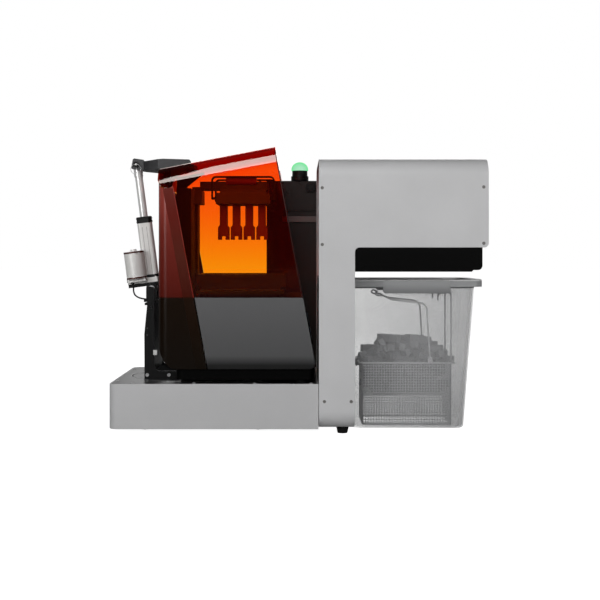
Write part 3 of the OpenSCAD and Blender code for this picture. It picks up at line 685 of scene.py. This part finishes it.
# Blades inside the inlet
INLET_LO, INLET_HI = span("power_inlet")
inlet_mid = (INLET_LO + INLET_HI)/2
blades = Shape()
for y, z in ((-7, -3), (7, -3), (0, 4)):
    lo = (INLET_LO.x + 4, inlet_mid.y + y - 1, inlet_mid.z + z - 2.5)
    hi = (INLET_LO.x + 18, inlet_mid.y + y + 1, inlet_mid.z + z + 2.5)
    blades.box(lo, hi)
blades.piece("inlet_blades", "root", MAT["steel"], "steel", 0.3)

# Thread of the leadscrew
SCREW_LO, SCREW_HI = span("leadscrew")
screw_mid = (SCREW_LO + SCREW_HI)/2
screw_r = (SCREW_HI.x - SCREW_LO.x)/2 - 0.5
LEAD_PITCH = 8
PLAIN_END = 10
TURN_STEPS = 16
turns = (SCREW_HI.z - SCREW_LO.z - 2*PLAIN_END)/LEAD_PITCH
helix = []
for i in range(int(TURN_STEPS*turns)):
    a = 2*math.pi*i/TURN_STEPS
    height = SCREW_LO.z + PLAIN_END + LEAD_PITCH*i/TURN_STEPS
    helix.append((screw_mid.x + screw_r*math.cos(a), screw_r*math.sin(a), height))
Shape().tube(helix, 0.5, 6).piece("leadscrew_thread", "screw", MAT["dark_steel"], "steel")

# Screws of the carriage, and the roll that clamps the platform to it
CARRIAGE_HI = span("z_carriage")[1]
PLATFORM_LO, PLATFORM_HI = span("build_platform")
carriage_screws = Shape()
for x in (CARRIAGE_HI.x - 60, CARRIAGE_HI.x - 20):
    for y in (-22, 22):
        carriage_screws.screw((x, y, CARRIAGE_HI.z), (0, 0, 1), 3, 2.5)
carriage_screws.piece("carriage_screws", "carriage", MAT["dark_steel"], "steel")
roll = Shape()
roll.lathe([(0, 0), (10, 0), (11, 1), (11, 76), (10, 77), (0, 77)],
           (PLATFORM_LO.x + 24, -36, PLATFORM_HI.z + 24), (1, 0, 0))
roll.piece("platform_clamp_roll", "carriage", MAT["resin_print"], "printed_resin")

# Trim strip of the signal column
HEAD_LO, HEAD_HI = span("column_head")
trim = Shape()
trim.prism(round_rect(HEAD_LO.x + 0.5, HEAD_LO.z + 0.4, HEAD_HI.x - 0.5, HEAD_LO.z + 16.4, 1.5),
           HEAD_HI.y - 4.2, HEAD_HI.y - 2.5)
trim.piece("column_trim", "root", MAT["column_strip"], "black_metal", 0.3)

# ---------------------------------------------------------------- opener
# Plugs in the holes of the post
plugs = Shape()
for y in (-89.3, 84.7):
    for z in (232, 249):
        plugs.lathe([(0, 0), (2.15, 0), (2.15, 4.6), (0, 4.6)], (-376, y, z), (0, 1, 0), 20)
plugs.piece("post_plugs", "root", MAT["dark_steel"], "black_metal")

# Pieces on the actuator, along its axis from the lower pivot
LOW_PIVOT = (-373, 346)
HIGH_PIVOT = (-413, 661)
ROD_BORE = 11.5
tilt = math.atan2(HIGH_PIVOT[0] - LOW_PIVOT[0], HIGH_PIVOT[1] - LOW_PIVOT[1])
arm = Matrix.Translation((LOW_PIVOT[0], 0, LOW_PIVOT[1])) @ Matrix.Rotation(tilt, 4, "Y")
collar = Shape(arm)
for half, lo, hi in ((18.6, 168, 184), (19.4, 170, 174), (19.4, 178, 182), (19.5, 28, 36)):
    collar.sleeve(half, 9, ROD_BORE, lo, hi)
collar.piece("tube_collar", "actuator", MAT["black"], "black_plastic", 0.5)
# Darker lines on two faces of the tube, painted shade standing in for the shade inside its grooves.
grooves = Shape(arm)
for y in (-18.15, 17.85):
    for x in (-6, 5):
        grooves.box((x, y, 36), (x + 1, y + 0.3, 158))
grooves.piece("tube_grooves", "actuator", MAT["groove_shade"], "aluminium")
rings = Shape(arm)
for z in (29.5, 94):
    rings.lathe([(22, 0), (25.5, 0), (25.5, 4), (22, 4)], (-32.5, -35.5, z), hollow=True)
rings.piece("motor_end_rings", "actuator", MAT["copper_ring"], "aluminium", 0.3)
gearbox = Shape(arm)
gearbox.prism(round_rect(-58.6, -24.6, 19.6, 24.6, 4), 16, 28.8, "z")
gearbox.prism(round_rect(-57.6, -46.6, -7.4, -20, 4), 21.6, 29.3, "z")
for x, y in ((-52, -40), (-14, -40), (-52, 18), (13, -18), (13, 18)):
    gearbox.screw((x, y, 29), (0, 0, 1), 2.4, 1.6)
gearbox.piece("gearbox_cover", "actuator", MAT["aluminium"], "aluminium", 0.8)
gland = Shape()
gland.lathe([(0, 0), (6, 0), (6, 5), (4.5, 7), (4.5, 10), (2.6, 13), (0, 13)],
            (-421.5, -20, 360.2), (0.115, 0, -1))
gland.piece("lead_gland", "actuator", MAT["black"], "black_plastic", 0.3)

# Ring and head of the upper pin. The head is white as a painted highlight on the pin.
RING_RADIUS = 12.7
RING_STEPS = 48
ring_z = HIGH_PIVOT[1] - RING_RADIUS + 0.5
ring = []
for i in range(RING_STEPS + 1):
    a = 2*math.pi*i/RING_STEPS
    ring.append((HIGH_PIVOT[0] + RING_RADIUS*math.cos(a), -29.6, ring_z + RING_RADIUS*math.sin(a)))
Shape().tube(ring, 0.6, 8).piece("pin_ring", "cover", MAT["steel"], "steel")
dome = Shape()
dome.lathe([(0, 2.4), (1.4, 2.2), (2.6, 1.4), (3.1, 0), (3.1, -2)],
           (HIGH_PIVOT[0], -29, HIGH_PIVOT[1]), (0, -1, 0))
dome.piece("pin_dome_painted_highlight", "cover", MAT["white"], "steel")

# Connector of the lead, on the post
connector = Shape()
connector.box((-361, -92, 183), (-351, -87, 195))
connector.piece("lead_connector", "root", MAT["white"], "black_plastic", 0.8)

# ---------------------------------------------------------------- bin
BIN_LO, BIN_HI = span("bin_body")
LIP, TAPER, WALL = 17, 25, 3
FOOT_SHIFT = 6
MOUTH = BIN_HI.z
RIM_FOOT = MOUTH - 22
SKIRT = MOUTH - 18


def bin_loop(z, inset):
    """Rounded outline of the bin's wall at a height."""
    drop = 1 - z/MOUTH
    k = LIP + inset + TAPER*drop
    outline = round_rect(BIN_LO.x + k - FOOT_SHIFT*drop, BIN_LO.y + k, BIN_HI.x - k, BIN_HI.y - k, 22)
    return [(x, y, z) for x, y in outline]


def rim_loop(z, inset):
    """Rounded outline of the bin's rim at a height."""
    outline = round_rect(BIN_LO.x + inset, BIN_LO.y + inset, BIN_HI.x - inset, BIN_HI.y - inset, 32)
    return [(x, y, z) for x, y in outline]


outer = [bin_loop(z, i) for z, i in
         ((0, 9), (0.6, 5), (3, 1.5), (8, 0), (40, 0), (150, 0), (260, 0), (RIM_FOOT, 0))]
inner = [bin_loop(z, WALL + i) for z, i in
         ((RIM_FOOT, 0), (260, 0), (150, 0), (40, 0), (10, 0), (5, 2), (3.2, 6))]
Shape().loft(outer + inner).piece("bin_frosted_wall", "bin", MAT["bin"], "bin_frosted", 0, ["bin_body"])
rim = Shape()
rim.loft([bin_loop(RIM_FOOT, WALL), bin_loop(RIM_FOOT, -0.2), bin_loop(MOUTH - 4, -0.2),
          rim_loop(MOUTH - 6, 3), rim_loop(SKIRT, 2.5), rim_loop(SKIRT, 0), rim_loop(MOUTH - 3, 0),
          rim_loop(MOUTH - 0.6, 1), rim_loop(MOUTH, 3), bin_loop(MOUTH, 4), bin_loop(MOUTH - 4, WALL)],
         closed=True)
rim.piece("bin_rim", "bin", MAT["rim"], "bin_frosted")
grips = Shape()
for side in (-1, 1):
    grips.prism(round_rect(206, MOUTH - 34, 372, MOUTH - 2.5, 8),
                *across(side, BIN_HI.y - 1.5, BIN_HI.y + 0.8))
grips.piece("bin_grips", "bin", MAT["grip"], "bin_frosted", 0.5)

# ---------------------------------------------------------------- basket
BASKET_X0, BASKET_X1 = 153, 385.5
BASKET_Y = 88
RIM_Z = 165
FLOOR_Z = 81
PITCH = 6.7
WIRE = 1.7
HOOK_TOP = 337


def lattice(shape, u_range, v_range, normal, at):
    """Bars both ways at the pitch between the ranges, on the plane at that place on the normal's axis."""
    for (lo, hi), (start, end), flip in ((u_range, v_range, False), (v_range, u_range, True)):
        count = round((hi - lo)/PITCH)
        t = WIRE/2*(0.92 if flip else 1.0)
        for i in range(count + 1):
            middle = lo + (hi - lo)*i/count
            corners = [[middle - t, start], [middle + t, end]]
            for corner, face in zip(corners, (at - t, at + t)):
                if flip:
                    corner.reverse()
                corner.insert(normal, face)
            shape.box(*corners)


mesh = Shape()
MESH_X = (BASKET_X0 + 7, BASKET_X1 - 7)
MESH_Y = (-BASKET_Y + 1, BASKET_Y - 1)
MESH_Z = (9, RIM_Z - 3)
for y in MESH_Y:
    lattice(mesh, MESH_X, MESH_Z, 1, y)
for x in MESH_X:
    lattice(mesh, MESH_Y, MESH_Z, 0, x)
lattice(mesh, MESH_X, MESH_Y, 2, FLOOR_Z)
mesh.piece("basket_mesh", "basket", MAT["basket"], "basket_steel", 0, ["basket"])

# Frame of thicker wire: two rings, two hooks with a bar between them, and the tabs of the handle
frame_wire = Shape()
for z, out_x, out_y, r in ((RIM_Z - 2.5, 1.5, 2.5, 2.5), (10, -6, -13, 1.8)):
    outline = round_rect(BASKET_X0 - out_x, -BASKET_Y - out_y, BASKET_X1 + out_x, BASKET_Y + out_y, 10)
    ring = [(x, y, z) for x, y in outline]
    frame_wire.tube(ring + ring[:1], r)
for side in (-1, 1):
    hook = [(BASKET_X1 - 3, RIM_Z - 3), (BASKET_X1 - 3, HOOK_TOP), (BASKET_X1 - 36, HOOK_TOP - 2),
            (BASKET_X1 - 36, HOOK_TOP - 19)]
    frame_wire.tube(fillet([(x, side*60, z) for x, z in hook], 9), 2.2)
    frame_wire.prism(round_rect(321, RIM_Z - 4, 333, RIM_Z + 13, 5), *across(side, BASKET_Y, BASKET_Y + 2))
    frame_wire.lathe([(0, 0), (1.8, 0), (1.8, 9), (2.6, 9), (2.6, 11), (0, 11)],
                     (327, side*(BASKET_Y + 1), RIM_Z + 6), (0, -side, 0))
frame_wire.tube([(BASKET_X1 - 3, -60, HOOK_TOP), (BASKET_X1 - 3, 60, HOOK_TOP)], 2.2)
frame_wire.piece("basket_frame", "basket", MAT["basket"], "basket_steel")

# Folding handle: two bent arms and a crossbar
BAIL_X, BAIL_Y, BAIL_Z = 327, 83, RIM_Z + 6
arm_points = [(BAIL_X, BAIL_Z + 3), (319, 299), (310, 311), (229, 320), (214, 330), (196, 330), (190, 335),
              (196, 340)]
near_arm = [(x, -BAIL_Y, z) for x, z in arm_points]
far_arm = [(x, BAIL_Y, z) for x, z in reversed(arm_points)]
handle = Shape()
handle.tube(fillet(near_arm + far_arm, 6), 2.2)
for side in (-1, 1):
    handle.lathe([(2.1, -2), (5, -2), (5, 2), (2.1, 2)],
                 (BAIL_X, side*BAIL_Y, BAIL_Z), (0, 1, 0), hollow=True)
handle.piece("basket_bail", "bail", MAT["basket"], "basket_steel", 0, ["basket_handle"])

# ---------------------------------------------------------------- prints in the basket
SKYLINE = ((160, 190), (178, 198), (190, 212), (205, 222), (222, 231), (245, 229), (266, 220), (282, 228),
           (300, 231), (322, 220), (345, 196), (370, 176), (380, 162))
CROWN = ((172, 188), (186, 206), (200, 207), (213, 222), (228, 231), (247, 227), (262, 217), (274, 217),
         (290, 231), (306, 231), (320, 221), (334, 204), (350, 192), (362, 180))
FORK = ((-9.7, 45), (-9.7, -5), (-14.3, -10), (-14.3, -42), (-5, -42), (-5, -33), (5, -33), (5, -42),
        (14.3, -42), (14.3, -10), (9.7, -5), (9.7, 45))
PART_HALF = 13
PART_SCALE = 0.62
CROWN_SCALE = 0.7


def skyline(x):
    """Height of the pile's outline at x."""
    for (x0, z0), (x1, z1) in zip(SKYLINE, SKYLINE[1:]):
        if x <= x1:
            return z0 + (z1 - z0)*max(0, x - x0)/(x1 - x0)
    return SKYLINE[-1][1]


def drop_part(shape, rng, x, y, z, top=None, scale=PART_SCALE):
    """A print at a random turn, with its highest point at top if given.

    Otherwise its middle is at z, or lower if it has to be to stay under the skyline."""
    about_z = Matrix.Rotation(rng.uniform(0, 2*math.pi), 4, "Z")
    about_x = Matrix.Rotation(rng.uniform(0.9, 2.2), 4, "X")
    about_y = Matrix.Rotation(rng.uniform(0, 2*math.pi), 4, "Y")
    turn = about_z @ about_x @ about_y @ Matrix.Scale(scale, 4)
    corners = [turn @ Vector((px, py, pz)) for px, pz in FORK for py in (-PART_HALF, PART_HALF)]
    if top:
        z = top - max(c.z for c in corners)
    else:
        z = min(z, min(skyline(x + c.x) - c.z for c in corners) - abs(y)*0.1 - 10)
    shape.place = Matrix.Translation((x, y, z)) @ turn
    shape.prism(FORK, -PART_HALF, PART_HALF)


rng = random.Random(5)
pile = Shape()
for x, top in CROWN:
    drop_part(pile, rng, x, rng.uniform(-42, -20), 0, top, CROWN_SCALE)
    drop_part(pile, rng, x + 4, rng.uniform(0, 30), 0, top - 4, CROWN_SCALE)
for layer in range(5):
    for ix in range(7):
        for iy in range(4):
            drop_part(pile, rng, 186 + 27*ix + rng.uniform(-6, 6), -46 + 31*iy + rng.uniform(-6, 6),
                      FLOOR_Z + 24 + 27*layer + rng.uniform(-4, 4))
pile.place = Matrix.Identity(4)
core = [(x, z - 34) for x, z in SKYLINE[1:-2]]
pile.prism([(184, FLOOR_Z + 3)] + core + [(356, FLOOR_Z + 3)], -50, 50)
pile.piece("print_pile", "basket", MAT["pile"], "pile_resin", 0, ["parts_pile"])

# ---------------------------------------------------------------- floor, light and world
FLOOR_HALF = 30
WHITE = (1, 1, 1, 1)


def pale_floor():
    """Plain grey to the light, and white to the camera."""
    n = Nodes(bpy.data.materials.new("floor_pale"))
    tone = n.mix(n.noise(400), (0.48, 0.48, 0.48, 1), (0.5, 0.5, 0.5, 1))
    skin = n.add("BsdfDiffuse", {"Color": tone}).outputs[0]
    glow = n.add("Emission", {"Color": WHITE, "Strength": 1.0}).outputs[0]
    seen = n.add("LightPath").outputs["Is Camera Ray"]
    return n.done(n.add("MixShader", {0: seen, 1: skin, 2: n.sum(skin, glow)}).outputs[0])


floor_mesh = bpy.data.meshes.new("floor")
floor_corners = [(x*FLOOR_HALF, y*FLOOR_HALF, 0) for x, y in ((-1, -1), (1, -1), (1, 1), (-1, 1))]
floor_mesh.from_pydata(floor_corners, [], [(0, 1, 2, 3)])
floor_mesh.materials.append(pale_floor())
floor = bpy.data.objects.new("floor", floor_mesh)
bpy.context.scene.collection.objects.link(floor)


def softbox(name, at, target, size, power):
    """Area light at a place, turned to the target."""
    data = bpy.data.lights.new(name, "AREA")
    data.shape = "RECTANGLE"
    data.size, data.size_y = size
    data.energy = power
    light = bpy.data.objects.new(name, data)
    bpy.context.scene.collection.objects.link(light)
    light.location = at
    light.rotation_euler = (Vector(target) - Vector(at)).to_track_quat("-Z", "Y").to_euler()


softbox("key", (-0.42, -3.0, 2.4), (-0.42, 0, 0.4), (1.2, 3.2), 42)
softbox("fill_left", (-1.7, -2.2, 0.9), (0, -0.2, 0.4), (0.9, 0.9), 21)
softbox("fill_right", (1.7, -2.2, 0.85), (0, -0.2, 0.4), (0.9, 0.9), 17)
softbox("back", (0.3, 2.6, 1.6), (0, 0, 0.4), (2.5, 1.6), 20)

# The camera sees a white world. Everything else sees a light that is stronger behind and low down.
sky = Nodes(bpy.data.worlds.new("studio"), "OutputWorld")
bpy.context.scene.world = sky.block
direction = sky.add("SeparateXYZ", {0: sky.add("TexCoord").outputs["Generated"]})
fade = sky.remap(direction.outputs["Y"], -0.2, 0.7, 0.004, 0.6)
dim = sky.remap(direction.outputs["Z"], 0.1, 0.6, 1.0, 0.06)
studio = sky.add("Background", {"Strength": sky.times(fade, dim)}).outputs[0]
backdrop = sky.add("Background", {"Color": WHITE, "Strength": 1.0}).outputs[0]
seen = sky.add("LightPath").outputs["Is Camera Ray"]
sky.done(sky.add("MixShader", {0: seen, 1: studio, 2: backdrop}).outputs[0])
